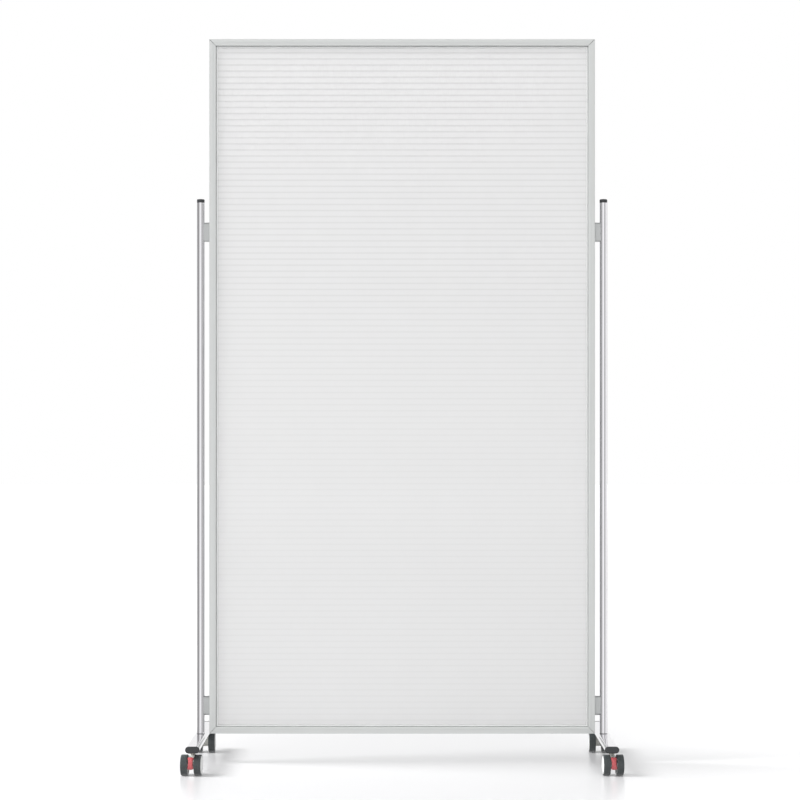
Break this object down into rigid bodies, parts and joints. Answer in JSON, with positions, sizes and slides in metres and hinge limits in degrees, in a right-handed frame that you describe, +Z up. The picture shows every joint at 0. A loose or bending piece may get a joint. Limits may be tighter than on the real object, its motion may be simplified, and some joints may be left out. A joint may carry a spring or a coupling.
{
  "type": "rolling partition",
  "caption": "Rolling room partition: framed ribbed multi-wall sheet between round uprights on flat-oval feet, with swivelling twin-wheel castors and brake levers.",
  "frame": {"origin": "on the floor under the middle of the panel, which is the bottom centre of the part's box", "axes": "+X to the right along the panel's width, -Y towards the viewer and the braked castors, +Z up"},
  "size_m": [1.1068, 0.5803, 1.875],
  "materials": {
    "anodised_rail": "satin natural anodised",
    "opal_sheet": "opal multi-wall polycarbonate, satin",
    "gasket_rubber": "matt grey glazing gasket",
    "zinc_inner": "die-cast zinc, as cast",
    "steel_fixing": "bright zinc-plated steel",
    "chromed_tube": "bright chrome plate",
    "bracket_grey": "silver-grey powder coat",
    "black_cap": "moulded, fine satin",
    "castor_grey": "moulded polyamide",
    "wheel_grey": "moulded polyamide, satin",
    "tyre_black": "soft non-marking tread",
    "brake_red": "moulded, slight gloss"
  },
  "bodies": {
    "frame": {"top_rail": "anodised_rail", "bottom_rail": "anodised_rail", "left_rail": "anodised_rail", "right_rail": "anodised_rail", "infill_sheet": "opal_sheet", "front_gasket": "gasket_rubber", "rear_gasket": "gasket_rubber", "corner_cleats": "zinc_inner", "cleat_screws": "steel_fixing", "nut_plates": "zinc_inner", "bracket_bolts": "steel_fixing", "bolt_hole_plugs": "chromed_tube", "upright_inserts": "zinc_inner", "upright_washers": "black_cap", "foot_bolts": "steel_fixing", "stem_sockets": "zinc_inner", "castor_stems": "steel_fixing", "left_upright": "chromed_tube", "right_upright": "chromed_tube", "left_upright_cap": "black_cap", "right_upright_cap": "black_cap", "left_foot": "chromed_tube", "right_foot": "chromed_tube", "lower_left_bracket": "bracket_grey", "lower_right_bracket": "bracket_grey", "upper_left_bracket": "bracket_grey", "upper_right_bracket": "bracket_grey", "front_left_foot_cap": "black_cap", "front_right_foot_cap": "black_cap", "rear_left_foot_cap": "black_cap", "rear_right_foot_cap": "black_cap"},
    "front_left_castor": {"front_left_castor_body": "castor_grey", "front_left_axle": "steel_fixing", "left_lever_pin": "steel_fixing"},
    "front_left_outer_roller": {"front_left_outer_wheel": "wheel_grey", "front_left_outer_tyre": "tyre_black"},
    "front_left_inner_roller": {"front_left_inner_wheel": "wheel_grey", "front_left_inner_tyre": "tyre_black"},
    "left_brake": {"left_brake_lever": "brake_red"},
    "front_right_castor": {"front_right_castor_body": "castor_grey", "front_right_axle": "steel_fixing", "right_lever_pin": "steel_fixing"},
    "front_right_outer_roller": {"front_right_outer_wheel": "wheel_grey", "front_right_outer_tyre": "tyre_black"},
    "front_right_inner_roller": {"front_right_inner_wheel": "wheel_grey", "front_right_inner_tyre": "tyre_black"},
    "right_brake": {"right_brake_lever": "brake_red"},
    "rear_left_castor": {"rear_left_castor_body": "castor_grey", "rear_left_axle": "steel_fixing"},
    "rear_left_outer_roller": {"rear_left_outer_wheel": "wheel_grey", "rear_left_outer_tyre": "tyre_black"},
    "rear_left_inner_roller": {"rear_left_inner_wheel": "wheel_grey", "rear_left_inner_tyre": "tyre_black"},
    "rear_right_castor": {"rear_right_castor_body": "castor_grey", "rear_right_axle": "steel_fixing"},
    "rear_right_outer_roller": {"rear_right_outer_wheel": "wheel_grey", "rear_right_outer_tyre": "tyre_black"},
    "rear_right_inner_roller": {"rear_right_inner_wheel": "wheel_grey", "rear_right_inner_tyre": "tyre_black"}
  },
  "joints": [
    {"name": "front_left_swivel", "type": "hinge", "parent": "frame", "child": "front_left_castor", "pos_m": [-0.525, -0.238, 0.045], "axis": [0, 0, 1], "continuous": true},
    {"name": "front_left_outer_spin", "type": "hinge", "parent": "front_left_castor", "child": "front_left_outer_roller", "pos_m": [-0.54324, -0.26193, 0.026], "axis": [0.9981, -0.061, 0], "continuous": true},
    {"name": "front_left_inner_spin", "type": "hinge", "parent": "front_left_castor", "child": "front_left_inner_roller", "pos_m": [-0.50981, -0.26398, 0.026], "axis": [0.9981, -0.061, 0], "continuous": true},
    {"name": "left_brake_tilt", "type": "hinge", "parent": "front_left_castor", "child": "left_brake", "pos_m": [-0.52731, -0.27577, 0.03017], "axis": [0.9981, -0.061, 0], "range_deg": [-10, 0]},
    {"name": "front_right_swivel", "type": "hinge", "parent": "frame", "child": "front_right_castor", "pos_m": [0.525, -0.238, 0.045], "axis": [0, 0, 1], "continuous": true},
    {"name": "front_right_outer_spin", "type": "hinge", "parent": "front_right_castor", "child": "front_right_outer_roller", "pos_m": [0.54324, -0.26193, 0.026], "axis": [0.9981, 0.061, 0], "continuous": true},
    {"name": "front_right_inner_spin", "type": "hinge", "parent": "front_right_castor", "child": "front_right_inner_roller", "pos_m": [0.50981, -0.26398, 0.026], "axis": [0.9981, 0.061, 0], "continuous": true},
    {"name": "right_brake_tilt", "type": "hinge", "parent": "front_right_castor", "child": "right_brake", "pos_m": [0.52731, -0.27577, 0.03017], "axis": [0.9981, 0.061, 0], "range_deg": [-10, 0]},
    {"name": "rear_left_swivel", "type": "hinge", "parent": "frame", "child": "rear_left_castor", "pos_m": [-0.525, 0.238, 0.045], "axis": [0, 0, 1], "continuous": true},
    {"name": "rear_left_outer_spin", "type": "hinge", "parent": "rear_left_castor", "child": "rear_left_outer_roller", "pos_m": [-0.54175, 0.213, 0.026], "axis": [1, 0, 0], "continuous": true},
    {"name": "rear_left_inner_spin", "type": "hinge", "parent": "rear_left_castor", "child": "rear_left_inner_roller", "pos_m": [-0.50825, 0.213, 0.026], "axis": [1, 0, 0], "continuous": true},
    {"name": "rear_right_swivel", "type": "hinge", "parent": "frame", "child": "rear_right_castor", "pos_m": [0.525, 0.238, 0.045], "axis": [0, 0, 1], "continuous": true},
    {"name": "rear_right_outer_spin", "type": "hinge", "parent": "rear_right_castor", "child": "rear_right_outer_roller", "pos_m": [0.54175, 0.213, 0.026], "axis": [1, 0, 0], "continuous": true},
    {"name": "rear_right_inner_spin", "type": "hinge", "parent": "rear_right_castor", "child": "rear_right_inner_roller", "pos_m": [0.50825, 0.213, 0.026], "axis": [1, 0, 0], "continuous": true}
  ]
}
